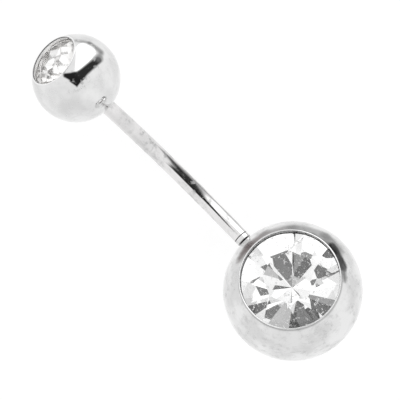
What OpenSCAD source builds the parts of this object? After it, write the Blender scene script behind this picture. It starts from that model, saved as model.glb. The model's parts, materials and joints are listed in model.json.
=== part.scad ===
// Navel ring: a curved bar with a round ball at each end, and a cut clear stone set in each ball.
// It lies as it rests by itself, on both balls, with the large stone up. Units are millimetres.
// The origin is on the surface that it rests on, under the middle of its length.
// +X runs along it from the small ball to the large one, and +Z is up.

/* [Bar] */
// Diameter of the bar
bar_d = 0.9; // [0.8:0.05:1.2]
// Length of the bar from end face to end face, along its bend
bar_length = 11.8; // [10:0.1:16]
// Angle that the bar bends through
bend_angle = 48.5; // [20:0.5:50]
// Length of the straight turned end beyond the bend, at each end
end_length = 0.45; // [0.4:0.05:0.8]
// Width of the turned band at the end that holds the large ball
band_w = 0.26; // [0.15:0.01:0.3]
// Width of the fine groove behind the band
groove_w = 0.06; // [0.04:0.01:0.08]
// Depth of the fine groove
groove_depth = 0.04; // [0.02:0.01:0.06]
// Chamfer on the edge of each end face
end_chamfer = 0.03; // [0.01:0.01:0.05]

/* [Studs] */
// Diameter over the thread of the two studs
stud_d = 0.74; // [0.6:0.02:0.76]
// Length of the stud in the small ball
top_stud_length = 1.7; // [1.2:0.1:1.9]
// Length of the stud in the large ball
bottom_stud_length = 2; // [1.2:0.1:2.2]
// Pitch of the thread
thread_pitch = 0.2; // [0.16:0.02:0.3]
// Depth of the thread
thread_depth = 0.05; // [0.03:0.01:0.08]

/* [Balls] */
// Diameter of the small ball
top_ball_d = 5.05; // [4.8:0.05:6]
// Diameter of the large ball
bottom_ball_d = 8; // [7.4:0.1:9]
// Width of the burnished lip round each stone
lip_w = 0.1; // [0.06:0.01:0.14]
// Turn of the large stone's setting round its stud, away from the plane of the bend
setting_turn = 11.7; // [0:0.1:30]
// Lean of the small stone's setting to one side of its stud
setting_lean = 3.5; // [0:0.5:8]

/* [Stones] */
// Diameter of the small stone
top_stone_d = 3.06; // [2.6:0.02:3.5]
// Diameter of the large stone
bottom_stone_d = 5.64; // [5:0.02:5.9]
// Width of the table across its corners, as a share of the stone's diameter
table_share = 0.55; // [0.5:0.01:0.6]
// Height of the crown above the girdle, as a share of the stone's diameter
crown_share = 0.15; // [0.12:0.01:0.18]
// Reach of the crown's corner facets at the girdle, as a share of the stone's radius: the more, the narrower
corner_reach = 0.975; // [0.965:0.005:0.985]
// Distance of those facets from the table's corners, as a share of the stone's radius
corner_clear = 0.01; // [0.005:0.005:0.02]
// Thickness of the girdle, as a share of the stone's diameter
girdle_share = 0.02; // [0.015:0.005:0.03]
// Angle of the facets below the girdle
pavilion_angle = 44; // [40:0.5:46]
// Width of the tiny flat at a stone's point, as a share of the stone's diameter
culet_share = 0.006; // [0.004:0.001:0.01]
// Depth of the girdle below the lip, as a share of the stone's diameter
sink_share = 0.07; // [0.05:0.01:0.1]

/* [Fits] */
// Gap round each stone in its seat
stone_gap = 0.02; // [0.01:0.01:0.04]
// Gap round each stud in its hole
stud_gap = 0.03; // [0.02:0.01:0.06]
// Gap at the tip of each stud
tip_gap = 0.15; // [0.05:0.05:0.2]
// Gap between the bar's end and the small ball
top_joint_gap = 0.05; // [0.03:0.01:0.12]
// Gap between the bar's end and the large ball
bottom_joint_gap = 0.1; // [0.03:0.01:0.15]
// Depth of the countersink at each stud hole
countersink = 0.1; // [0.05:0.01:0.15]

/* [Rest] */
// Lean of the bend from upright, as the ring balances on its two balls
rest_lean = 10.1; // [0:0.1:15]

/* [Hidden] */
$fn = 64;
facets = 8;

// Places along one ring of a stud's thread, as shares of the pitch: its foot, both edges of its crest, its foot
ring_at = [0.25, 0.6, 0.7, 1.05];

// How far a cutting shape runs past the surface that it cuts
overcut = 1;

bar_r = bar_d / 2;
stud_r = stud_d / 2;
top_r = top_ball_d / 2;
bottom_r = bottom_ball_d / 2;
half_bend = bend_angle / 2;
bend_r = (bar_length - 2 * end_length) / (bend_angle * PI / 180);

// Distance of each ball's centre from the end of the bend, along the stud
top_reach = end_length + top_joint_gap + top_r;
bottom_reach = end_length + bottom_joint_gap + bottom_r;

// Centres of the two balls before the ring is laid down, with the bend's lowest point at the origin
bend_end = [bend_r * sin(half_bend), bend_r * (1 - cos(half_bend))];
along_stud = [cos(half_bend), sin(half_bend)];
top_centre = [-bend_end.x - top_reach * along_stud.x, bend_end.y + top_reach * along_stud.y];
bottom_centre = bend_end + bottom_reach * along_stud;
between = bottom_centre - top_centre;
centre_distance = norm(between);
line_angle = atan2(between.y, between.x);

// Slope of the line between the centres once both balls touch the surface
rest_slope = asin((bottom_r - top_r) / centre_distance);

// How far each ball reaches along X from its centre, the small one only to its lip
lip_r = function(stone_d) stone_d / 2 + stone_gap + lip_w;
lip_height = function(ball_r, stone_d) sqrt(ball_r ^ 2 - lip_r(stone_d) ^ 2);
top_axis_rise = half_bend + line_angle - rest_slope;
top_end_reach = lip_height(top_r, top_stone_d) * cos(top_axis_rise) + lip_r(top_stone_d) * sin(top_axis_rise);
rest_x = (top_end_reach - bottom_r - centre_distance * cos(rest_slope)) / 2;

// Lays the whole ring down on both balls, leaning as it balances
module laid() {
    translate([rest_x, 0, top_r])
        rotate([0, -rest_slope, 0])
            rotate([rest_lean, 0, 0])
                rotate([0, line_angle, 0])
                    translate([-top_centre.x, 0, -top_centre.y])
                        children();
}

// Puts children at one end of the bend, with +X out along the stud and +Z to the inside of the bend
module at_end(side) {
    translate([side * bend_end.x, 0, bend_end.y])
        rotate([0, -half_bend, side > 0 ? 0 : 180])
            children();
}

// Profile of a turned end: a peg that joins it to the bend, the straight end with the band behind its groove,
// then the threaded stud
function end_profile(banded, stud_length) =
    let (
        cut = banded ? groove_depth : 0,
        face = end_length,
        band = face - band_w,
        peg_r = bar_r / 2,
        root_r = stud_r - thread_depth,
        rings = floor((stud_length - thread_pitch) / thread_pitch)
    )
    concat(
        [[0, -peg_r], [peg_r, -peg_r], [peg_r, 0], [bar_r, 0]],
        banded ? [[bar_r, band - groove_w], [bar_r - cut, band - groove_w], [bar_r - cut, band], [bar_r, band]] : [],
        [[bar_r, face - end_chamfer], [bar_r - end_chamfer, face], [root_r, face]],
        [for (i = [0 : rings - 1]) each [
            [root_r, face + (i + ring_at[0]) * thread_pitch],
            [stud_r, face + (i + ring_at[1]) * thread_pitch],
            [stud_r, face + (i + ring_at[2]) * thread_pitch],
            [root_r, face + (i + ring_at[3]) * thread_pitch]
        ]],
        [[root_r, face + stud_length - thread_depth], [root_r - thread_depth, face + stud_length]],
        [[0, face + stud_length]]
    );

module turned_end(banded, stud_length) {
    rotate([0, 90, 0])
        rotate_extrude()
            polygon(end_profile(banded, stud_length));
}

module bar() {
    color("gainsboro")
        laid() {
            translate([0, 0, bend_r])
                rotate([-90, 90 - half_bend, 0])
                    rotate_extrude(angle = bend_angle)
                        translate([bend_r, 0])
                            circle(r = bar_r);
            at_end(1) turned_end(true, bottom_stud_length);
            at_end(-1) turned_end(false, top_stud_length);
        }
}

// Height of a stone's girdle above the centre of its ball
function girdle_height(ball_r, stone_d) = lip_height(ball_r, stone_d) - sink_share * stone_d;

// Depth at which the facets below a stone's girdle would meet
function point_depth(stone_d) = girdle_share * stone_d + stone_d / 2 * tan(pavilion_angle);

// Hollow that a stone drops into: a straight wall down to the girdle, and a cone for the point
module seat(ball_r, stone_d) {
    wall_r = stone_d / 2 + stone_gap;
    floor_z = girdle_height(ball_r, stone_d) - point_depth(stone_d) - 2 * stone_gap;
    shelf_z = floor_z + wall_r * tan(pavilion_angle) * cos(180 / facets);
    rotate_extrude()
        polygon([[0, floor_z], [wall_r, shelf_z], [wall_r, ball_r], [0, ball_r]]);
}

// Blind hole for a stud, in from -X, with a countersink at its mouth
module stud_hole(ball_r, joint_gap, stud_length) {
    hole_r = stud_r + stud_gap;
    outside = -ball_r - overcut;
    mouth = -sqrt(ball_r ^ 2 - bar_r ^ 2);
    bottom = -ball_r + stud_length - joint_gap + tip_gap;
    rotate([0, 90, 0])
        rotate_extrude()
            polygon([
                [0, outside], [bar_r, outside], [bar_r, mouth],
                [hole_r, mouth + countersink], [hole_r, bottom], [0, bottom]
            ]);
}

// A ball cut off at its stone, with a raised lip burnished round the opening
module ball_body(ball_r, stone_d) {
    lip_z = lip_height(ball_r, stone_d);
    difference() {
        union() {
            difference() {
                sphere(r = ball_r, $fn = 96);
                translate([0, 0, lip_z])
                    cylinder(r = ball_r, h = ball_r);
            }
            translate([0, 0, lip_z])
                rotate_extrude($fn = 96)
                    translate([lip_r(stone_d) - lip_w / 2, 0])
                        circle(r = lip_w / 2, $fn = 24);
        }
        seat(ball_r, stone_d);
    }
}

// A ring of flat cuts, each through the point at (r, z) and sloping by angle, above or below the girdle.
// The first is turned from +X by a share of the angle between two facets.
module cuts(r, z, angle, above, turn, size) {
    for (i = [0 : facets - 1])
        rotate([0, 0, (i + turn) * 360 / facets])
            translate([r, 0, z])
                rotate([0, above ? angle : 180 - angle, 0])
                    translate([-size, -size, 0])
                        cube([2 * size, 2 * size, size]);
}

// A stone's cut: an eight-sided table, eight facets down from its sides and eight from its corners,
// and below the girdle eight more down to the tiny flat at its point
module stone(d) {
    r = d / 2;
    crown_h = crown_share * d;
    side_r = table_share * r * cos(180 / facets);
    corner_r = (table_share + corner_clear) * r;
    culet_depth = point_depth(d) - culet_share * r * tan(pavilion_angle);
    difference() {
        translate([0, 0, -culet_depth])
            cylinder(r = r, h = culet_depth + crown_h);
        cuts(r, 0, atan(crown_h / (r - side_r)), true, 0.5, d);
        cuts(corner_reach * r, 0, atan(crown_h / (corner_reach * r - corner_r)), true, 0, d);
        cuts(r, -girdle_share * d, pavilion_angle, false, 0.5, d);
    }
}

// Ball frames: the stone's way out is +Z, and the bar comes in from -X
module at_bottom_ball() {
    laid() at_end(1) translate([bottom_reach, 0, 0]) children();
}

module at_top_ball() {
    laid() at_end(-1) translate([top_reach, 0, 0]) children();
}

module top_ball() {
    color("silver")
        at_top_ball()
            difference() {
                rotate([0, 90, setting_lean]) ball_body(top_r, top_stone_d);
                stud_hole(top_r, top_joint_gap, top_stud_length);
            }
}

module top_stone() {
    color("white")
        at_top_ball()
            rotate([0, 90, setting_lean])
                translate([0, 0, girdle_height(top_r, top_stone_d)])
                    stone(top_stone_d);
}

module bottom_ball() {
    color("silver")
        at_bottom_ball()
            difference() {
                rotate([-setting_turn, 0, 0]) ball_body(bottom_r, bottom_stone_d);
                stud_hole(bottom_r, bottom_joint_gap, bottom_stud_length);
            }
}

module bottom_stone() {
    color("white")
        at_bottom_ball()
            rotate([-setting_turn, 0, 0])
                translate([0, 0, girdle_height(bottom_r, bottom_stone_d)])
                    stone(bottom_stone_d);
}

bar();
top_ball();
top_stone();
bottom_ball();
bottom_stone();
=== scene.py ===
"""Navel ring: the finish of a curved bar, its two polished balls and the two cut stones set in them."""
import json
import logging
import math
from dataclasses import dataclass, field
from enum import Enum

import bmesh
import bpy
import numpy as np
from mathutils import Matrix, Vector


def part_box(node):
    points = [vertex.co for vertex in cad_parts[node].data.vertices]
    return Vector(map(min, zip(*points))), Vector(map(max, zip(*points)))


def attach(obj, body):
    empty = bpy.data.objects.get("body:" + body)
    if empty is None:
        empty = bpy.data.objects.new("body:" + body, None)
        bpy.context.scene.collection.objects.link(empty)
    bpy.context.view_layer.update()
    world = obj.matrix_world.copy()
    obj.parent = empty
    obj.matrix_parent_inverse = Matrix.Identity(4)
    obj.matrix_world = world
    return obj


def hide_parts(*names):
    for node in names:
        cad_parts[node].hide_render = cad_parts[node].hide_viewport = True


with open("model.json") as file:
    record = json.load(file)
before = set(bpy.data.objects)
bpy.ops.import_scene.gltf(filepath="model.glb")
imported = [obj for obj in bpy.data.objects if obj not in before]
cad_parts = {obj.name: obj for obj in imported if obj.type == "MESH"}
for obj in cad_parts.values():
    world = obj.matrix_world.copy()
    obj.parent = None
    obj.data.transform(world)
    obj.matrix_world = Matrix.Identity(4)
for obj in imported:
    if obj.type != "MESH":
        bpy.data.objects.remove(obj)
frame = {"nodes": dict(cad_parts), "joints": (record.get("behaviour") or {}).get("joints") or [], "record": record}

LOG = logging.getLogger("navel_ring")
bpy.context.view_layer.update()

# Lengths are in millimetres here, and in metres in Blender and in the frame
MM = 0.001
# Points closer than this are one point
SAME_POINT = 0.0001
# Facets that turn by fewer degrees than this are one facet
SAME_FACET = 0.5
# Edges of the metal that turn by more degrees than this stay sharp
SHARP_EDGE = 30.0

Triple = tuple[float, float, float]
Colour = Triple
Span = tuple[float, float]
Source = bpy.types.NodeSocket | float | tuple
Feeds = dict[str | int, Source]


def unit(vector: np.ndarray) -> np.ndarray:
    """Returns the vector at length one."""
    return vector / np.linalg.norm(vector)


def smooth(low: float, high: float, value: np.ndarray) -> np.ndarray:
    """Returns 0 below low, 1 above high, and 3t^2 - 2t^3 between them."""
    share = np.clip((value - low) / (high - low), 0.0, 1.0)
    return share * share * (3.0 - 2.0 * share)


def grey(level: float) -> Colour:
    """Returns the grey of that level."""
    return level, level, level


def vertices_of(node: str) -> np.ndarray:
    """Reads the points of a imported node's mesh.

    Args:
        node: the node's name.

    Returns:
        One row per point, in millimetres.
    """
    mesh = frame["nodes"][node].data
    points = np.empty(len(mesh.vertices) * 3)
    mesh.vertices.foreach_get("co", points)
    return points.reshape(-1, 3) / MM


@dataclass(frozen=True)
class Sizes:
    """The small sizes of the ring that its boxes don't show, in millimetres."""

    bar_r: float = 0.45
    end: float = 0.45
    band: float = 0.26
    groove: float = 0.06
    groove_depth: float = 0.04
    chamfer: float = 0.03
    stud_r: float = 0.37
    pitch: float = 0.2
    thread_depth: float = 0.05
    thread_start: float = 0.02
    stud_gap: float = 0.03
    tip_gap: float = 0.15
    countersink: float = 0.1
    stone_gap: float = 0.02
    lip_w: float = 0.1


SIZES = Sizes()


class Side(Enum):
    """The end of the bar that a piece belongs to, by its place in a pair of sizes."""

    SMALL = 0
    LARGE = 1


class Coat(Enum):
    """The finishes of a stone, by material slot."""

    CLEAR = 0
    SILVERED = 1
    EDGE = 2


@dataclass
class Skin:
    """A closed skin: rings of points in order along a piece, the first and last of no size."""

    rings: np.ndarray
    tones: dict[str, np.ndarray] = field(default_factory=dict)

    def mesh(self, name: str) -> bpy.types.Mesh:
        """Makes the mesh of the skin, in metres, with its faces outward.

        Ring i and ring i + 1 are joined by one quad per column. Once the points of the first and last ring
        are merged, the skin closes there as a fan of triangles.

        Args:
            name: the mesh's name.

        Returns:
            The mesh, smooth shaded between its sharp edges.
        """
        count, around, _ = self.rings.shape
        row = np.arange(count - 1)[:, None] * around
        column = np.arange(around)[None, :]
        after = (column + 1) % around
        quads = np.stack([row + column, row + after, row + around + after, row + around + column], axis=-1)
        mesh = bpy.data.meshes.new(name)
        points = self.rings.reshape(-1, 3) * MM
        mesh.from_pydata(points.tolist(), [], quads.reshape(-1, 4).tolist())
        for label, values in self.tones.items():
            attribute = mesh.attributes.new(label, "FLOAT", "POINT")
            attribute.data.foreach_set("value", np.repeat(values, around))
        close_and_turn_out(mesh)
        mesh.shade_smooth()
        mesh.set_sharp_from_angle(angle=math.radians(SHARP_EDGE))
        return mesh


def close_and_turn_out(mesh: bpy.types.Mesh) -> None:
    """Merges points that coincide, as at the poles, and turns every face outward.

    Args:
        mesh: the mesh to mend.
    """
    work = bmesh.new()
    work.from_mesh(mesh)
    bmesh.ops.remove_doubles(work, verts=work.verts, dist=SAME_POINT * MM)
    bmesh.ops.recalc_face_normals(work, faces=work.faces)
    work.to_mesh(mesh)
    work.free()


def sweep(centres: np.ndarray, normals: np.ndarray, radii: np.ndarray, side: np.ndarray) -> np.ndarray:
    """Places circles in space.

    A point is its circle's centre plus the radius times (cos p across + sin p side), with p the angle round
    the circle and across = side x normal.

    Args:
        centres: N centres.
        normals: N unit normals, each square to side.
        radii: N by M radii, one for each point of each circle.
        side: the unit vector that all the circles share.

    Returns:
        An array of N circles of M points.
    """
    angle = np.linspace(0.0, 2.0 * math.pi, radii.shape[1], endpoint=False)
    across = np.cross(side, normals)
    spoke = np.cos(angle)[None, :, None] * across[:, None, :] + np.sin(angle)[None, :, None] * side
    return centres[:, None, :] + radii[:, :, None] * spoke


@dataclass(frozen=True)
class Cut:
    """A packed stone's node, the way that its table faces, and its radius in millimetres."""

    node: str
    out: np.ndarray
    radius: float

    @classmethod
    def of(cls, node: str) -> "Cut":
        """Finds the table as the largest area of a packed stone that faces one way.

        Args:
            node: the stone's node.

        Returns:
            The stone's way out and its radius.
        """
        faces = frame["nodes"][node].data.polygons
        normals = np.empty(len(faces) * 3)
        areas = np.empty(len(faces))
        centres = np.empty(len(faces) * 3)
        faces.foreach_get("normal", normals)
        faces.foreach_get("area", areas)
        faces.foreach_get("center", centres)
        normals, centres = normals.reshape(-1, 3), centres.reshape(-1, 3) / MM
        alike = normals @ normals.T > math.cos(math.radians(SAME_FACET))
        flat = alike[np.argmax(alike @ areas)]
        out = unit(areas[flat] @ normals[flat])
        table = areas[flat] @ centres[flat] / areas[flat].sum()
        points = vertices_of(node) - table
        radius = np.linalg.norm(points - np.outer(points @ out, out), axis=1).max()
        return cls(node, out, float(radius))

    def point_height(self, centre: np.ndarray) -> float:
        """Returns the height of the stone's point above a centre, along the stone's way out."""
        return float(((vertices_of(self.node) - centre) @ self.out).min())


@dataclass(frozen=True)
class Layout:
    """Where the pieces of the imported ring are, in millimetres."""

    small_centre: np.ndarray
    small_radius: float
    large_centre: np.ndarray
    large_radius: float
    small_stud: np.ndarray
    large_stud: np.ndarray
    middle: np.ndarray
    along: np.ndarray

    @classmethod
    def read(cls) -> "Layout":
        """Reads the balls from their boxes, the small stud from the joint and the bend from the mount.

        Each ball reaches its whole radius down, to +X and both ways along Y. The large stud is the small
        one's mirror image in the plane square to the bend's middle.

        Returns:
            The layout.
        """
        balls = {}
        for node in ("top_ball", "bottom_ball"):
            low, high = (np.array(corner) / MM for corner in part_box(node))
            radius = (high[1] - low[1]) / 2
            centre = np.array([high[0] - radius, (low[1] + high[1]) / 2, low[2] + radius])
            balls[node] = centre, float(radius)
        mount = frame["record"]["mounts"][0]
        middle = np.array(mount["pos_m"]) / MM
        along = unit(np.array(mount["axis"]))
        small_stud = unit(np.array(frame["joints"][0]["axis"]))
        large_stud = small_stud - 2 * (small_stud @ along) * along
        return cls(*balls["top_ball"], *balls["bottom_ball"], small_stud, large_stud, middle, along)


@dataclass
class Piece:
    """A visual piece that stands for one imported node."""

    node: str
    body: str
    slot: str

    def place(self, mesh: bpy.types.Mesh) -> bpy.types.Object:
        """Makes the piece's object from a mesh, on its body, in place of its node.

        Args:
            mesh: the finished mesh, in metres in the row frame.

        Returns:
            The object.
        """
        piece = bpy.data.objects.new(self.node + "_visual", mesh)
        bpy.context.scene.collection.objects.link(piece)
        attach(piece, self.body)
        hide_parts(self.node)
        LOG.info("%s: %d points, %d faces", piece.name, len(mesh.vertices), len(mesh.polygons))
        return piece

    def dress(self, piece: bpy.types.Object, *finishes: bpy.types.Material) -> None:
        """Gives the piece's object its finishes, in the order of its material slots.

        Args:
            piece: the object.
            finishes: one finish for each slot.
        """
        for finish in finishes:
            piece.data.materials.append(finish)


@dataclass
class Bar(Piece):
    """The curved bar with its turned ends and threaded studs."""

    layout: Layout
    stud_lengths: Span
    joint_gaps: Span
    columns: int = 48
    bend_rings: int = 97
    rings_per_pitch: int = 10
    flank: Span = (0.1, 0.45)
    shaded_depth: Span = (0.5, 0.9)

    def bend(self) -> tuple[float, float, np.ndarray]:
        """Finds the bend that joins both studs.

        The large ball's centre is middle + R (sin h, 1 - cos h) + reach (cos h, sin h), measured along the
        bend's middle and towards its inside, with h half the bend. That gives R from the distance along the
        middle.

        Returns:
            The bend's radius, half its angle, and the unit vector to its inside.
        """
        lay = self.layout
        inside = unit(lay.large_stud + lay.small_stud)
        half = math.atan2(lay.large_stud @ inside, lay.large_stud @ lay.along)
        reach = SIZES.end + self.joint_gaps[Side.LARGE.value] + lay.large_radius
        length = (lay.large_centre - lay.middle) @ lay.along
        return float((length - reach * math.cos(half)) / math.sin(half)), half, inside

    def turned_end(self, side: Side) -> np.ndarray:
        """Gives the rings of one end, from the bend out to the stud's tip.

        Args:
            side: which end; only the large one has the band and its groove.

        Returns:
            Rows of distance beyond the bend, radius, and how much of the thread stands there.
        """
        size = SIZES
        length = self.stud_lengths[side.value]
        root = size.stud_r - size.thread_depth
        tip = size.end + length
        end = []
        if side is Side.LARGE:
            floor_r = size.bar_r - size.groove_depth
            band = size.end - size.band
            back = band - size.groove
            end += [(back, size.bar_r, 0), (back, floor_r, 0), (band, floor_r, 0), (band, size.bar_r, 0)]
        end += [(size.end - size.chamfer, size.bar_r, 0), (size.end, size.bar_r - size.chamfer, 0)]
        end += [(size.end, root, 0)]
        steps = int(length / size.pitch * self.rings_per_pitch)
        run = np.linspace(size.end + size.thread_start, tip - size.thread_depth, steps)
        rise = smooth(size.end, size.end + size.pitch, run)
        fall = smooth(tip - size.thread_depth, tip - size.pitch, run)
        thread = np.stack([run, np.full(steps, root), rise * fall], axis=1)
        return np.concatenate([end, thread, [(tip, root - size.thread_depth, 0), (tip, 0, 0)]])

    def build(self) -> bpy.types.Object:
        """Sweeps rings along the whole bar, from the small stud's tip to the large stud's tip.

        On the bend, at an angle b from its middle, the centre is middle + R (sin b along + (1 - cos b)
        inside). On a thread the radius rises by its depth where the fraction of s / pitch - p / 2 pi lies on
        the ridge, with s the way along the bar and p the angle round it. Both flanks of the ridge take the
        same share of the pitch. Painted shade darkens the colour where the metal lies deep, as a share of
        the groove's depth.

        Returns:
            The bar's object.
        """
        lay = self.layout
        radius, half, inside = self.bend()
        turn = np.linspace(-half, half, self.bend_rings)
        sines, cosines = np.sin(turn)[:, None], np.cos(turn)[:, None]
        small, large = self.turned_end(Side.SMALL)[::-1], self.turned_end(Side.LARGE)
        bend_centres = lay.middle + radius * (sines * lay.along + (1 - cosines) * inside)
        centres = np.concatenate([
            bend_centres[0] + small[:, :1] * lay.small_stud,
            bend_centres,
            bend_centres[-1] + large[:, :1] * lay.large_stud,
        ])
        normals = np.concatenate([
            np.tile(-lay.small_stud, (len(small), 1)),
            cosines * lay.along + sines * inside,
            np.tile(lay.large_stud, (len(large), 1)),
        ])
        way = np.concatenate([-radius * half - small[:, 0], radius * turn, radius * half + large[:, 0]])
        bare = np.concatenate([small[:, 1], np.full(len(turn), SIZES.bar_r), large[:, 1]])
        thread = np.concatenate([small[:, 2], np.zeros(len(turn)), large[:, 2]])
        phase = np.arange(self.columns) / self.columns
        place = np.mod(way[:, None] / SIZES.pitch - phase, 1.0)
        ridge = smooth(*self.flank, place) * smooth(*self.flank, 1.0 - place)
        radii = bare[:, None] + SIZES.thread_depth * thread[:, None] * ridge
        # Painted shade: deep metal (groove floor, end faces, studs) is darkened in the colour
        shade = smooth(*self.shaded_depth, (SIZES.bar_r - bare) / SIZES.groove_depth)
        skin = Skin(sweep(centres, normals, radii, np.cross(inside, lay.along)), {"Shade": shade})
        return self.place(skin.mesh("bar_skin"))


@dataclass
class Ball(Piece):
    """A polished ball with a seat for its stone, a rounded lip round it and a blind hole for its stud.

    The shares seat_shade and foot_shade say how much painted shade darkens the seat and the lip's outer
    foot. The spans say where the lip's bead takes painted shade and a painted highlight, by the cosine
    and the sine of the angle round it.
    """

    centre: np.ndarray
    radius: float
    stud: np.ndarray
    cut: Cut
    stud_length: float
    joint_gap: float
    seat_slope: float
    seat_shade: float
    foot_shade: float
    columns: int = 160
    seat_rings: int = 3
    bead_rings: int = 13
    sphere_rings: int = 95
    fine_steps: int = 2001
    dark_inside: Span = (-0.35, -0.95)
    dark_outside: Span = (0.7, 1.0)
    painted_highlight: Span = (0.2, 0.8)

    def bead_angle(self) -> np.ndarray:
        """Returns the angle round the lip's bead, from its foot inside to its foot outside."""
        return np.radians(np.linspace(180, 0, self.bead_rings))

    def seat_profile(self) -> np.ndarray:
        """Works out the profile of the seat and the lip.

        The seat is a cone below a straight wall. The lip's bead is half a circle, lip_z + w sin a high and
        lip_r - w + w cos a wide, with w half the lip's width and a the angle round it.

        Returns:
            Rows of height above the centre and radius, from the seat's tip to the ball's skin.
        """
        wall = self.cut.radius + SIZES.stone_gap
        lip_r = wall + SIZES.lip_w
        lip_z = math.sqrt(self.radius**2 - lip_r**2)
        floor_z = self.cut.point_height(self.centre) - 2 * SIZES.stone_gap
        angle = self.bead_angle()
        half_w = SIZES.lip_w / 2
        bead = np.stack([lip_z + half_w * np.sin(angle), lip_r + half_w * (np.cos(angle) - 1)], axis=1)
        seat = [(floor_z, 0), (floor_z + wall * self.seat_slope, wall), (lip_z - half_w, wall)]
        return np.concatenate([seat, bead])

    def tones(self, count: int) -> dict[str, np.ndarray]:
        """Tells the finish where the seat and the lip are.

        Args:
            count: the number of rings of the whole skin.

        Returns:
            One value per ring for each tone: Shade is painted shade, Highlight is a painted highlight and
            Matt is rough.
        """
        angle = self.bead_angle()
        shade, highlight, matt = np.zeros(count), np.zeros(count), np.zeros(count)
        seat = slice(0, self.seat_rings)
        bead = slice(self.seat_rings, self.seat_rings + self.bead_rings)
        # Painted shade in the seat; where the seat takes none, a painted highlight on its wall
        shade[seat] = self.seat_shade
        highlight[seat] = 1 - self.seat_shade
        matt[seat] = 1
        # Painted shade at the bead's feet, inside and outside; a painted highlight on its crown
        outside = smooth(*self.dark_outside, np.cos(angle))
        shade[bead] = smooth(*self.dark_inside, np.cos(angle)) + self.foot_shade * outside
        highlight[bead] = smooth(*self.painted_highlight, np.sin(angle))
        return {"Shade": shade, "Highlight": highlight, "Matt": matt}

    def hole_profile(self) -> np.ndarray:
        """Works out the profile of the stud's blind hole.

        Returns:
            Rows of height above the centre, along the stud, and radius, from the hole's mouth to its bottom.
        """
        size = SIZES
        hole_r = size.stud_r + size.stud_gap
        mouth = -math.sqrt(self.radius**2 - size.bar_r**2)
        bottom = -self.radius + self.stud_length - self.joint_gap + size.tip_gap
        throat = mouth + size.countersink
        return np.array([(mouth, size.bar_r), (throat, hole_r), (bottom, hole_r), (bottom, 0)])

    def build(self) -> bpy.types.Object:
        """Makes the skin as one grid: seat, lip, sphere, hole.

        The sphere's circles lie in planes n . p = c that turn from the lip's plane to the mouth's: n is the
        share (1 - t) of the way out of the stone and t of the stud's way in, and c is the same mix of both
        planes' distances. The circles are spaced evenly by their angle from the centre, arccos (c / |n| r),
        with r the ball's radius, which is looked up in a fine run of t.

        Returns:
            The ball's object.
        """
        out, stud = self.cut.out, self.stud
        side = unit(np.cross(stud, out))
        seat, hole = self.seat_profile(), self.hole_profile()
        fine = np.linspace(0, 1, self.fine_steps)
        tilt = np.outer(1 - fine, out) + np.outer(fine, stud)
        size = np.linalg.norm(tilt, axis=1)
        share = ((1 - fine) * seat[-1, 0] + fine * hole[0, 0]) / size / self.radius
        angle = np.arccos(np.clip(share, -1, 1))
        even = np.interp(np.linspace(angle[0], angle[-1], self.sphere_rings + 2)[1:-1], angle, fine)
        tilt = np.outer(1 - even, out) + np.outer(even, stud)
        size = np.linalg.norm(tilt, axis=1)
        height = ((1 - even) * seat[-1, 0] + even * hole[0, 0]) / size
        heights = np.concatenate([seat[:, 0], height, hole[:, 0]])
        radii = np.concatenate([seat[:, 1], np.sqrt(self.radius**2 - height**2), hole[:, 1]])
        normals = np.concatenate([
            np.tile(out, (len(seat), 1)),
            tilt / size[:, None],
            np.tile(stud, (len(hole), 1)),
        ])
        centres = self.centre + heights[:, None] * normals
        rings = sweep(centres, normals, np.repeat(radii[:, None], self.columns, axis=1), side)
        return self.place(Skin(rings, self.tones(len(rings))).mesh(self.node + "_skin"))


@dataclass
class Stone(Piece):
    """A cut stone of clear glass, silvered below its girdle."""

    cut: Cut
    edge_tilt: float = 0.1

    def facets(self) -> bpy.types.Mesh:
        """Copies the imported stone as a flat-shaded mesh.

        Returns:
            The mesh, with one face for each of the stone's facets.
        """
        packed = frame["nodes"][self.node].data
        corners = np.empty(len(packed.loops), np.int32)
        packed.loops.foreach_get("vertex_index", corners)
        mesh = bpy.data.meshes.new(self.node + "_facets")
        points = vertices_of(self.node) * MM
        mesh.from_pydata(points.tolist(), [], corners.reshape(-1, 3).tolist())
        close_and_turn_out(mesh)
        work = bmesh.new()
        work.from_mesh(mesh)
        turn = math.radians(SAME_FACET)
        bmesh.ops.dissolve_limit(work, angle_limit=turn, verts=work.verts, edges=work.edges)
        work.to_mesh(mesh)
        work.free()
        return mesh

    def build(self) -> bpy.types.Object:
        """Makes the stone and says which coat each facet has.

        A facet whose normal leans into the ball is silvered, one that leans neither in nor out belongs to the
        edge, and the others are clear.

        Returns:
            The stone's object.
        """
        mesh = self.facets()
        normals = np.empty(len(mesh.polygons) * 3)
        mesh.polygons.foreach_get("normal", normals)
        outward = normals.reshape(-1, 3) @ self.cut.out
        coats = np.full(len(outward), Coat.CLEAR.value, np.int32)
        coats[outward < self.edge_tilt] = Coat.EDGE.value
        coats[outward < -self.edge_tilt] = Coat.SILVERED.value
        mesh.polygons.foreach_set("material_index", coats)
        return self.place(mesh)


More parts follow.
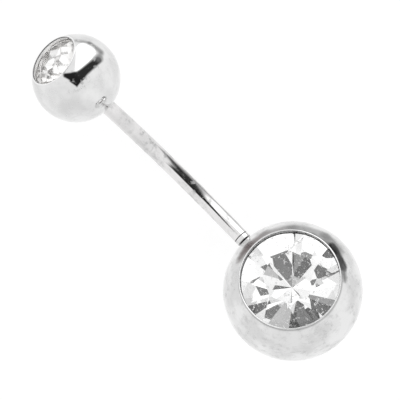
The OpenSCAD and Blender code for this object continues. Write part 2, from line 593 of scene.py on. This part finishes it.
class Wiring:
    """Adds nodes to one node tree and joins them up."""

    def __init__(self, tree: bpy.types.NodeTree) -> None:
        """Starts on a tree, emptied of what it holds."""
        self.tree = tree
        tree.nodes.clear()

    def add(self, kind: str, feeds: Feeds | None = None, **settings: object) -> bpy.types.Node:
        """Adds a node.

        Args:
            kind: the node's type name.
            feeds: what each input gets: a socket is linked to it, anything else is set on it.
            settings: properties of the node.

        Returns:
            The node.
        """
        node = self.tree.nodes.new(kind)
        for name, value in settings.items():
            setattr(node, name, value)
        for key, value in (feeds or {}).items():
            if isinstance(value, bpy.types.NodeSocket):
                self.tree.links.new(value, node.inputs[key])
            else:
                node.inputs[key].default_value = value
        return node

    def math(self, operation: str, *values: Source) -> bpy.types.NodeSocket:
        """Adds a math node on one or more values and returns its result."""
        return self.add("ShaderNodeMath", dict(enumerate(values)), operation=operation).outputs[0]

    def vector(self, operation: str, *values: Source) -> bpy.types.NodeSocket:
        """Adds a vector math node and returns its result, a value for a dot product or a length."""
        node = self.add("ShaderNodeVectorMath", dict(enumerate(values)), operation=operation)
        return node.outputs["Value" if operation in ("DOT_PRODUCT", "LENGTH") else "Vector"]

    def scaled(self, vector: Source, by: Source) -> bpy.types.NodeSocket:
        """Adds a node that scales a vector and returns its result."""
        return self.add("ShaderNodeVectorMath", {0: vector, "Scale": by}, operation="SCALE").outputs["Vector"]

    def combined(self, x: Source, y: Source, z: Source) -> bpy.types.NodeSocket:
        """Adds a node that joins three values to a vector or a colour, and returns it."""
        return self.add("ShaderNodeCombineXYZ", {"X": x, "Y": y, "Z": z}).outputs["Vector"]

    def noise(self, place: Source, scale: float, detail: float, roughness: float = 0.5) -> bpy.types.Node:
        """Adds a noise texture and returns its node."""
        feeds = {"Vector": place, "Scale": scale, "Detail": detail, "Roughness": roughness}
        return self.add("ShaderNodeTexNoise", feeds)

    def tone(self, name: str) -> bpy.types.NodeSocket:
        """Adds a node that reads a tone of the mesh, nought where it has none, and returns it."""
        return self.add("ShaderNodeAttribute", attribute_name=name).outputs["Fac"]

    def ramp(self, value: Source, low: Source, high: Source, span: Span = (0.0, 1.0)) -> bpy.types.NodeSocket:
        """Adds a node that runs smoothly through a span.

        Args:
            value: what the result follows.
            low: the value at which the result is the start of the span.
            high: the value at which it is the end of the span.
            span: the start and the end.

        Returns:
            The node's result.
        """
        feeds = {"Value": value, "From Min": low, "From Max": high, "To Min": span[0], "To Max": span[1]}
        return self.add("ShaderNodeMapRange", feeds, interpolation_type="SMOOTHSTEP").outputs["Result"]

    def blend(self, mask: Source, under: Source, over: Source) -> bpy.types.NodeSocket:
        """Adds a node that lays one colour over another by a mask, and returns its result."""
        feeds = {"Factor": mask, 6: opaque(under), 7: opaque(over)}
        return self.add("ShaderNodeMix", feeds, data_type="RGBA").outputs[2]


def opaque(colour: Source) -> Source:
    """Returns a colour with an alpha of one, and a socket as it is."""
    return (*colour, 1.0) if isinstance(colour, tuple) and len(colour) == 3 else colour


def new_material(name: str) -> tuple[bpy.types.Material, Wiring]:
    """Makes an empty material.

    Args:
        name: the material's name.

    Returns:
        The material and the wiring of its nodes.
    """
    material = bpy.data.materials.new(name)
    material.use_nodes = True
    return material, Wiring(material.node_tree)


def new_group(
    name: str,
    takes: dict[str, str],
    gives: dict[str, str],
) -> tuple[Wiring, bpy.types.NodeOutputs]:
    """Makes a shader node group with its sockets.

    Args:
        name: the group's name.
        takes: the name and kind of each input, Float, Vector or Color.
        gives: the name and kind of each output.

    Returns:
        The wiring of the group's tree, and what its input node hands on.
    """
    tree = bpy.data.node_groups.new(name, "ShaderNodeTree")
    for label, kind in takes.items():
        tree.interface.new_socket(label, in_out="INPUT", socket_type="NodeSocket" + kind)
    for label, kind in gives.items():
        tree.interface.new_socket(label, in_out="OUTPUT", socket_type="NodeSocket" + kind)
    wires = Wiring(tree)
    return wires, wires.add("NodeGroupInput").outputs


@dataclass(frozen=True)
class Scuffs:
    """Fine handling marks on polished metal: the scales of two noises, and where each of them shows."""

    fine_scale: float = 2600.0
    broad_scale: float = 700.0
    mark: Span = (0.48, 0.66)
    patch: Span = (0.3, 0.58)

    def group(self) -> bpy.types.ShaderNodeTree:
        """Makes the group that all the metal shares.

        Marks stands where a fine noise passes its middle, thinned by a coarse noise so that they come in
        patches. Cloud is the coarse noise alone.

        Returns:
            The group's tree, with the input Position and the outputs Marks and Cloud.
        """
        wires, given = new_group("Scuffs", {"Position": "Vector"}, {"Marks": "Float", "Cloud": "Float"})
        fine = wires.noise(given["Position"], self.fine_scale, detail=6.0, roughness=0.65)
        broad = wires.noise(given["Position"], self.broad_scale, detail=3.0)
        patch = wires.ramp(broad.outputs["Fac"], *self.patch)
        marks = wires.math("MULTIPLY", wires.ramp(fine.outputs["Fac"], *self.mark), patch)
        wires.add("NodeGroupOutput", {"Marks": marks, "Cloud": broad.outputs["Fac"]})
        return wires.tree


@dataclass(frozen=True)
class Gaze:
    """The photograph's look at the ring: degrees about the vertical, above the horizon and about itself."""

    azimuth: float = -67.0046
    elevation: float = 75.4905
    roll: float = 111.3209

    def axes(self) -> tuple[np.ndarray, np.ndarray, np.ndarray]:
        """Works out the picture's own axes.

        Returns:
            The unit vectors to the picture's right, to its top and towards the camera.
        """
        azimuth, elevation, roll = (math.radians(a) for a in (self.azimuth, self.elevation, self.roll))
        level = math.cos(elevation)
        back = np.array([level * math.sin(azimuth), -level * math.cos(azimuth), math.sin(elevation)])
        flat = np.array([math.cos(azimuth), math.sin(azimuth), 0.0])
        rise = np.cross(back, flat)
        right = flat * math.cos(roll) + rise * math.sin(roll)
        up = -flat * math.sin(roll) + rise * math.cos(roll)
        return right, up, back


@dataclass(frozen=True)
class Stroke:
    """A soft-edged card or flag of the studio, or a painted dark reflection on a ball, as a tapered stroke.

    Its ends are points of the all-round picture about the gaze: degrees to the right, and degrees down.
    """

    name: str
    start: Span
    end: Span
    start_width: float
    end_width: float
    softness: float
    colour: Colour
    strength: float = 1.0


def all_round_group(gaze: Gaze) -> bpy.types.ShaderNodeTree:
    """Makes the group that turns a direction into a point of the all-round picture.

    The point lies at the direction's angle from the gaze, in degrees, on the side where the direction lies.

    Args:
        gaze: the way the camera looks.

    Returns:
        The group's tree, with the input Direction and the outputs Point and Angle.
    """
    wires, given = new_group("All Round", {"Direction": "Vector"}, {"Point": "Vector", "Angle": "Float"})
    right, up, back = gaze.axes()
    across = wires.vector("DOT_PRODUCT", given["Direction"], tuple(right))
    down = wires.vector("DOT_PRODUCT", given["Direction"], tuple(-up))
    toward = wires.vector("DOT_PRODUCT", given["Direction"], tuple(back))
    angle = wires.math("DEGREES", wires.math("ARCCOSINE", toward))
    point = wires.scaled(wires.vector("NORMALIZE", wires.combined(across, down, 0.0)), angle)
    wires.add("NodeGroupOutput", {"Point": point, "Angle": angle})
    return wires.tree


def stroke_group() -> bpy.types.ShaderNodeTree:
    """Makes the group that masks one stroke.

    With h the point's share of the way from the start to the end, kept within 0 and 1, the mask falls from
    one to zero as the point's distance from start + h (end - start) passes the width there.

    Returns:
        The group's tree, with the output Mask.
    """
    takes = {"Point": "Vector", "Start": "Vector", "End": "Vector"}
    takes |= {"Start Width": "Float", "End Width": "Float", "Softness": "Float"}
    wires, given = new_group("Stroke", takes, {"Mask": "Float"})
    leg = wires.vector("SUBTRACT", given["End"], given["Start"])
    offset = wires.vector("SUBTRACT", given["Point"], given["Start"])
    reach = wires.vector("DOT_PRODUCT", offset, leg)
    share = wires.math("DIVIDE", reach, wires.vector("DOT_PRODUCT", leg, leg))
    share = wires.math("MINIMUM", wires.math("MAXIMUM", share, 0.0), 1.0)
    gap = wires.vector("LENGTH", wires.vector("SUBTRACT", offset, wires.scaled(leg, share)))
    spread = wires.math("SUBTRACT", given["End Width"], given["Start Width"])
    width = wires.math("MULTIPLY_ADD", share, spread, given["Start Width"])
    inner = wires.math("SUBTRACT", width, given["Softness"])
    outer = wires.math("ADD", width, given["Softness"])
    wires.add("NodeGroupOutput", {"Mask": wires.ramp(gap, outer, inner)})
    return wires.tree


def look_round(wires: Wiring, direction: Source, gaze: Gaze) -> bpy.types.NodeOutputs:
    """Finds a direction in the all-round picture.

    Args:
        wires: the wiring to add to.
        direction: a unit vector.
        gaze: the way the camera looks.

    Returns:
        The outputs Point and Angle.
    """
    group = bpy.data.node_groups.get("All Round") or all_round_group(gaze)
    return wires.add("ShaderNodeGroup", {"Direction": direction}, node_tree=group).outputs


def lay_strokes(wires: Wiring, point: Source, under: Source, strokes: tuple[Stroke, ...]) -> Source:
    """Lays strokes one after the other over a colour.

    Args:
        wires: the wiring to add to.
        point: where the shaded place lies in the all-round picture.
        under: the colour that the strokes are laid over.
        strokes: the strokes, the first one lowest.

    Returns:
        The colour with the strokes on it.
    """
    shape = bpy.data.node_groups.get("Stroke") or stroke_group()
    for stroke in strokes:
        feeds = {
            "Point": point,
            "Start": (*stroke.start, 0.0),
            "End": (*stroke.end, 0.0),
            "Start Width": stroke.start_width,
            "End Width": stroke.end_width,
            "Softness": stroke.softness,
        }
        mask = wires.add("ShaderNodeGroup", feeds, node_tree=shape, label=stroke.name).outputs["Mask"]
        under = wires.blend(wires.math("MULTIPLY", mask, stroke.strength), under, stroke.colour)
    return under


@dataclass(frozen=True)
class Tones:
    """The colours of one piece's steel: clean, scuffed, under a thin film, and in painted shade, as in a groove.
    """

    clean: Colour
    scuffed: Colour
    filmed: Colour
    shaded: Colour


@dataclass(frozen=True)
class Steel:
    """Polished surgical steel with fine handling marks.

    The waviness is the strength of waves that are wave_height high, in millimetres. The lean is added to the
    surface's normal, so that what it mirrors slides along the piece.
    """

    name: str
    tones: Tones
    roughness: float
    scuffed_roughness: float = 0.35
    matt_roughness: float = 0.3
    waviness: float = 0.3
    wave_height: float = 0.02
    film: Span = (0.35, 0.65)
    lean: Triple = (0.0, 0.0, 0.0)

    def coloured(self, wires: Wiring, place: Source, colour: Source) -> Source:
        """Returns the colour with what lies on this steel alone; plain steel has nothing more."""
        return colour

    def material(self, scuffs: bpy.types.ShaderNodeTree) -> bpy.types.Material:
        """Makes the material.

        Args:
            scuffs: the group of handling marks.

        Returns:
            A metal whose colour and roughness follow the marks, with a slight waviness from the polishing.
        """
        material, wires = new_material(self.name)
        place = wires.add("ShaderNodeTexCoord").outputs["Object"]
        worn = wires.add("ShaderNodeGroup", {"Position": place}, node_tree=scuffs).outputs
        film = wires.ramp(worn["Cloud"], *self.film)
        colour = wires.blend(film, self.tones.clean, self.tones.filmed)
        colour = wires.blend(worn["Marks"], colour, self.tones.scuffed)
        colour = self.coloured(wires, place, colour)
        # Painted shade: the Shade tone darkens the colour in grooves, seats and at the lip's feet
        colour = wires.blend(wires.tone("Shade"), colour, self.tones.shaded)
        rough = wires.ramp(worn["Marks"], 0.0, 1.0, (self.roughness, self.scuffed_roughness))
        matt = wires.math("MULTIPLY", wires.tone("Matt"), self.matt_roughness)
        rough = wires.math("MAXIMUM", rough, matt)
        normal = wires.add("ShaderNodeNewGeometry").outputs["Normal"]
        normal = wires.vector("NORMALIZE", wires.vector("ADD", normal, self.lean))
        waves = {"Strength": self.waviness, "Distance": self.wave_height * MM}
        waves |= {"Height": worn["Cloud"], "Normal": normal}
        normal = wires.add("ShaderNodeBump", waves).outputs["Normal"]
        feeds = {"Base Color": colour, "Metallic": 1.0, "Roughness": rough, "Normal": normal}
        shader = wires.add("ShaderNodeBsdfPrincipled", feeds)
        wires.add("ShaderNodeOutputMaterial", {"Surface": shader.outputs[0]})
        return material


@dataclass(frozen=True)
class BallSteel(Steel):
    """The steel of a ball, with painted reflection and shade beside its lip, a painted highlight on the lip
    and painted shade in its seat.

    A painted reflection's ends are points of the all-round picture of the ball's own surface, seen from
    its centre. A noise makes their edges ragged and lets a little clean steel through.
    """

    centre: Triple = (0.0, 0.0, 0.0)
    gaze: Gaze = Gaze()
    dark_reflections: tuple[Stroke, ...] = ()
    painted_highlight: Colour = (0.97, 0.97, 0.97)
    raggedness: float = 0.13
    grain_scale: float = 1500.0
    grain: Span = (0.35, 0.55)
    cover: Span = (0.92, 1.0)

    def coloured(self, wires: Wiring, place: Source, colour: Source) -> Source:
        """Lays the painted reflection and shade, and the lip's painted highlight, over the steel's colour.

        Args:
            wires: the wiring to add to.
            place: the shaded place.
            colour: the colour of the steel.

        Returns:
            The colour with both of them.
        """
        # Painted reflection and shade: dark bands picked by the surface's direction from the gaze
        outward = wires.vector("NORMALIZE", wires.vector("SUBTRACT", place, self.centre))
        grain = wires.noise(place, self.grain_scale, detail=5.0, roughness=0.7).outputs
        wander = wires.scaled(wires.vector("SUBTRACT", grain["Color"], grey(0.5)), self.raggedness)
        seen = look_round(wires, wires.vector("NORMALIZE", wires.vector("ADD", outward, wander)), self.gaze)
        painted_dark = lay_strokes(wires, seen["Point"], colour, self.dark_reflections)
        colour = wires.blend(wires.ramp(grain["Fac"], *self.grain, self.cover), colour, painted_dark)
        # Painted highlight: the Highlight tone whitens the bead's crown and the small seat's wall
        return wires.blend(wires.tone("Highlight"), colour, self.painted_highlight)


@dataclass(frozen=True)
class Glass:
    """Clear cut glass."""

    name: str
    tint: Colour
    index: float

    def material(self) -> bpy.types.Material:
        """Makes the material.

        Returns:
            A clear solid with plain transmission.
        """
        material, wires = new_material(self.name)
        feeds = {"Base Color": opaque(self.tint), "Roughness": 0.0, "IOR": self.index}
        shader = wires.add("ShaderNodeBsdfPrincipled", feeds | {"Transmission Weight": 1.0})
        wires.add("ShaderNodeOutputMaterial", {"Surface": shader.outputs[0]})
        return material


@dataclass(frozen=True)
class Silvering:
    """The mirror coat on the back of a stone, flecked where it is worn."""

    name: str
    tint: Colour
    worn: Colour
    roughness: float
    worn_roughness: float
    fleck_scale: float = 3500.0
    fleck: Span = (0.575, 0.68)

    def material(self) -> bpy.types.Material:
        """Makes the material.

        Returns:
            A bright metal, seen through the stone, whose colour and roughness follow the flecks.
        """
        material, wires = new_material(self.name)
        place = wires.add("ShaderNodeTexCoord").outputs["Object"]
        grain = wires.noise(place, self.fleck_scale, detail=4.0, roughness=0.7)
        flecks = wires.ramp(grain.outputs["Fac"], *self.fleck)
        colour = wires.blend(flecks, self.tint, self.worn)
        rough = wires.ramp(flecks, 0.0, 1.0, (self.roughness, self.worn_roughness))
        feeds = {"Base Color": colour, "Metallic": 1.0, "Roughness": rough}
        shader = wires.add("ShaderNodeBsdfPrincipled", feeds)
        wires.add("ShaderNodeOutputMaterial", {"Surface": shader.outputs[0]})
        return material


# The steel of the bar and of both balls; shaded is the colour of their painted shade
BAR_TONES = Tones(clean=(0.87, 0.86, 0.86), scuffed=grey(0.6), filmed=(0.75, 0.745, 0.745), shaded=grey(0.12))
SMALL_TONES = Tones(clean=grey(0.88), scuffed=grey(0.76), filmed=grey(0.77), shaded=grey(0.1))
LARGE_TONES = Tones(clean=grey(0.88), scuffed=grey(0.64), filmed=grey(0.73), shaded=grey(0.1))

# The stones' glass, the silvering of their backs and the ground edge of their girdles
GLASS = Glass("Stone glass", grey(1.0), index=1.52)
SMALL_SILVERING = Silvering("Small stone silvering", (0.975, 0.97, 0.965), (0.965, 0.96, 0.955), 0.1, 0.14)
LARGE_SILVERING = Silvering("Stone silvering", grey(0.96), grey(0.9), 0.02, 0.4)
EDGE = Silvering("Stone edge", (0.97, 0.955, 0.94), (0.9, 0.88, 0.86), 0.55, 0.7)

# Painted reflection and shade: dark bands beside the lip of the large ball, laid into its colour
LARGE_DARK_REFLECTIONS = (
    Stroke("left", (-54, -34), (-46, -46), 4, 6, 4, (0.1, 0.075, 0.07), 0.85),
    Stroke("left top", (-46, -46), (-29, -60), 6, 4, 4, (0.15, 0.12, 0.12), 0.8),
    Stroke("top", (-29, -60), (0, -66), 4, 5, 4, (0.25, 0.24, 0.24), 0.7),
    Stroke("right top", (0, -66), (34, -58), 6, 7, 4, grey(0.22), 0.65),
    Stroke("right", (34, -56), (44, -43), 7, 7, 4, grey(0.15), 0.65),
    Stroke("dark", (38, -42), (46, -25), 6, 5, 2, grey(0.01)),
    Stroke("right foot", (46, -25), (48, -10), 4, 2, 3, grey(0.1), 0.8),
)

# Cards and flags that the metal mirrors
METAL_STROKES = (
    Stroke("dim side", (-20, 86), (30, 90), 32, 32, 18, grey(0.83), 0.9),
    Stroke("panel", (6, -19), (28, -78), 8, 28, 3, grey(1.6)),
    Stroke("camera halo", (10, -8), (66, -56), 9, 13, 4, grey(0.28), 0.6),
    Stroke("camera left", (-27, -6), (-2, -1), 6, 14, 3, grey(0.02)),
    Stroke("camera", (-2, -1), (12, -5), 14, 13, 3, grey(0.02)),
    Stroke("camera tip", (1, 8), (3, 22), 17, 2, 3, grey(0.02)),
    Stroke("camera arm", (14, -9), (63, -51), 12, 9, 4, grey(0.03)),
    Stroke("arm end", (63, -52), (72, -72), 8, 8, 7, grey(0.25), 0.6),
    Stroke("arc", (0, -114), (40, -106), 6, 7, 6, grey(0.25), 0.6),
    Stroke("arc end", (40, -106), (74, -80), 7, 9, 7, grey(0.22), 0.75),
)

# Cards and flags seen through the stones
STONE_STROKES = (
    Stroke("light above", (-27, -36), (4, -42), 13, 14, 3, grey(1.35)),
    Stroke("dark body", (1, 12), (6, 9), 6, 6, 2, grey(0.18)),
    Stroke("dark spot", (13, 8), (14, 7), 3, 3, 2, grey(0.06)),
    Stroke("grey kite tops", (-13, -19), (-2, -13), 4, 4, 2, grey(0.28)),
    Stroke("dark kite left", (-2, -12), (1, -12), 3, 3, 1, grey(0.2)),
    Stroke("dark kite right", (-15, -17), (-13, -17), 2, 2, 1, grey(0.1)),
    Stroke("grey left", (-29, 1), (-20, 0), 4, 5, 2, grey(0.55)),
    Stroke("dark left end", (-35, -11), (-35, -12), 4, 4, 2, grey(0.12)),
    Stroke("dark far left", (-59, -4), (-59, 2), 4, 4, 2, grey(0.08)),
    Stroke("dark low left", (-24, 17), (-23, 18), 4, 4, 2, grey(0.1)),
    Stroke("dark low", (-7, 23), (8, 25), 4, 4, 2, grey(0.2)),
    Stroke("dark below", (6, 43), (10, 43), 5, 5, 2, grey(0.15)),
    Stroke("dark right", (21, 14), (27, 4), 3, 4, 2, grey(0.13)),
    Stroke("dark right arm", (27, 3), (41, -4), 4, 5, 2, grey(0.16)),
    Stroke("dark upper right", (21, -16), (25, -22), 3, 4, 2, grey(0.16)),
    Stroke("dark fleck left", (-26, -31), (-25, -31), 2, 2, 1, grey(0.15)),
    Stroke("dark fleck", (1, -33), (2, -33), 3, 3, 1, grey(0.2)),
)


@dataclass
class NavelRing:
    """The whole ring.

    A pair of sizes is the small ball's, then the large one's. The stones' backs have their steepness in
    degrees, and the bar's lean slides the streak that it mirrors.
    """

    layout: Layout
    gaze: Gaze
    stud_lengths: Span = (1.7, 2.0)
    joint_gaps: Span = (0.05, 0.1)
    seat_shades: Span = (0.0, 1.0)
    foot_shades: Span = (0.0, 0.6)
    pavilion: float = 44.0
    facets: int = 8
    bar_lean: float = -0.052
    bar_roughness: float = 0.1
    ball_roughness: float = 0.04

    def ball(self, side: Side, cut: Cut) -> Ball:
        """Readies one ball.

        Args:
            side: which ball.
            cut: the stone that it holds.

        Returns:
            The ball, ready to build.
        """
        lay = self.layout
        places = {
            Side.SMALL: ("top_ball", "top", lay.small_centre, lay.small_radius, lay.small_stud),
            Side.LARGE: ("bottom_ball", "ring", lay.large_centre, lay.large_radius, lay.large_stud),
        }
        node, body, centre, radius, stud = places[side]
        return Ball(
            node=node,
            body=body,
            slot="ball_steel",
            centre=centre,
            radius=radius,
            stud=stud,
            cut=cut,
            stud_length=self.stud_lengths[side.value],
            joint_gap=self.joint_gaps[side.value],
            seat_slope=math.tan(math.radians(self.pavilion)) * math.cos(math.pi / self.facets),
            seat_shade=self.seat_shades[side.value],
            foot_shade=self.foot_shades[side.value],
        )

    def build(self) -> None:
        """Builds every piece and gives it its finish."""
        scuffs = Scuffs().group()
        lean = tuple(self.bar_lean * self.layout.along)
        steel = Steel("Bar steel", BAR_TONES, self.bar_roughness, lean=lean)
        bar = Bar("bar", "ring", "bar_steel", self.layout, self.stud_lengths, self.joint_gaps)
        bar.dress(bar.build(), steel.material(scuffs))

        cuts = Cut.of("top_stone"), Cut.of("bottom_stone")
        for side, cut, tones, dark_reflections in zip(Side, cuts, (SMALL_TONES, LARGE_TONES), ((), LARGE_DARK_REFLECTIONS)):
            ball = self.ball(side, cut)
            steel = BallSteel(
                name=ball.node + " steel",
                tones=tones,
                roughness=self.ball_roughness,
                centre=tuple(ball.centre * MM),
                gaze=self.gaze,
                dark_reflections=dark_reflections,
            )
            ball.dress(ball.build(), steel.material(scuffs))

        glass, edge = GLASS.material(), EDGE.material()
        stones = Stone("top_stone", "top", "stone", cuts[0]), Stone("bottom_stone", "ring", "stone", cuts[1])
        for stone, silvering in zip(stones, (SMALL_SILVERING, LARGE_SILVERING)):
            stone.dress(stone.build(), glass, silvering.material(), edge)


@dataclass
class Studio:
    """The bright surroundings, white behind the ring: cards and flags for the metal, others for the stones.

    The level rises to the far level between two angles from the gaze, in degrees. What is seen through a
    stone drifts between the stone levels with a slow noise.
    """

    gaze: Gaze
    strokes: tuple[Stroke, ...]
    stone_strokes: tuple[Stroke, ...]
    level: float = 0.93
    far_level: float = 1.0
    far_angles: Span = (140.0, 178.0)
    stone_levels: Span = (0.85, 1.2)
    drift_scale: float = 0.05
    drift: Span = (0.35, 0.6)

    def light(self) -> None:
        """Builds the world: even light, brighter far behind the ring, with each stroke laid over it."""
        world = bpy.data.worlds.new("Studio")
        world.use_nodes = True
        bpy.context.scene.world = world
        wires = Wiring(world.node_tree)
        seen = look_round(wires, wires.add("ShaderNodeTexCoord").outputs["Generated"], self.gaze)
        level = wires.ramp(seen["Angle"], *self.far_angles, (self.level, self.far_level))
        mirrored = lay_strokes(wires, seen["Point"], wires.combined(level, level, level), self.strokes)
        noise = wires.noise(seen["Point"], self.drift_scale, detail=2.0)
        level = wires.ramp(noise.outputs["Fac"], *self.drift, self.stone_levels)
        refracted = lay_strokes(wires, seen["Point"], wires.combined(level, level, level), self.stone_strokes)
        path = wires.add("ShaderNodeLightPath").outputs
        colour = wires.blend(path["Is Transmission Ray"], mirrored, refracted)
        shown = wires.blend(path["Is Camera Ray"], colour, grey(1.0))
        background = wires.add("ShaderNodeBackground", {"Color": shown})
        wires.add("ShaderNodeOutputWorld", {"Surface": background.outputs[0]})


@dataclass
class Sweep:
    """The white sweep under the ring, with half its width in millimetres."""

    half: float = 2000.0
    shade: float = 0.3
    glow: float = 0.8

    def lay(self) -> None:
        """Lays the sweep. It takes a faint shadow, and mirrors look through it at the surroundings."""
        half = self.half * MM
        corners = [(-half, -half, 0), (half, -half, 0), (half, half, 0), (-half, half, 0)]
        mesh = bpy.data.meshes.new("sweep")
        mesh.from_pydata(corners, [], [(0, 1, 2, 3)])
        floor = bpy.data.objects.new("sweep", mesh)
        bpy.context.scene.collection.objects.link(floor)
        material, wires = new_material("White sweep")
        mesh.materials.append(material)
        matt = wires.add("ShaderNodeBsdfDiffuse", {"Color": opaque(grey(self.shade))})
        glow = wires.add("ShaderNodeEmission", {"Strength": self.glow})
        white = wires.add("ShaderNodeAddShader", {0: matt.outputs[0], 1: glow.outputs[0]})
        clear = wires.add("ShaderNodeBsdfTransparent")
        path = wires.add("ShaderNodeLightPath").outputs
        through = wires.math("MAXIMUM", path["Is Glossy Ray"], path["Is Transmission Ray"])
        mixed = wires.add("ShaderNodeMixShader", {0: through, 1: white.outputs[0], 2: clear.outputs[0]})
        wires.add("ShaderNodeOutputMaterial", {"Surface": mixed.outputs[0]})


@dataclass
class Photographer:
    """The camera, from the photograph's side. Its long lens sees the ring almost without perspective."""

    gaze: Gaze
    pixels_per_mm: float = 17.55
    lens: float = 600.0
    sensor: float = 36.0
    picture: float = 400.0
    aim: Span = (7.6182, -7.1495)
    clip_m: Span = (0.01, 10.0)

    def shoot(self, layout: Layout) -> None:
        """Puts the camera in place.

        It looks along the gaze at the point that lies aim to the right and up from the small ball's resting
        point, in the plane midway between both ball centres. Its distance makes the picture's width there
        equal to the number of pixels over the pixels to the millimetre.

        Args:
            layout: where the balls are.
        """
        right, up, back = self.gaze.axes()
        foot = np.array([layout.small_centre[0], 0.0, 0.0])
        middle = (layout.small_centre + layout.large_centre) / 2 - foot
        target = foot + self.aim[0] * right + self.aim[1] * up + (middle @ back) * back
        distance = self.picture / self.pixels_per_mm * self.lens / self.sensor
        data = bpy.data.cameras.new("camera")
        data.lens, data.sensor_width = self.lens, self.sensor
        data.clip_start, data.clip_end = self.clip_m
        camera = bpy.data.objects.new("camera", data)
        bpy.context.scene.collection.objects.link(camera)
        bpy.context.scene.camera = camera
        turned = Matrix(np.column_stack([right, up, back]).tolist()).to_4x4()
        turned.translation = Vector((target + distance * back) * MM)
        camera.matrix_world = turned


def set_rendering() -> None:
    """Sets the plain view transform, and enough bounces for light to find its way out of the stones."""
    scene = bpy.context.scene
    scene.view_settings.view_transform = "Standard"
    scene.cycles.max_bounces = 24
    scene.cycles.glossy_bounces = 12
    scene.cycles.transmission_bounces = 16


def main() -> None:
    """Builds the ring, its surroundings and the camera."""
    logging.basicConfig(level=logging.INFO, format="%(name)s: %(message)s")
    layout = Layout.read()
    gaze = Gaze()
    NavelRing(layout, gaze).build()
    Studio(gaze, METAL_STROKES, STONE_STROKES).light()
    Sweep().lay()
    Photographer(gaze).shoot(layout)
    set_rendering()


if __name__ == "__main__":
    main()
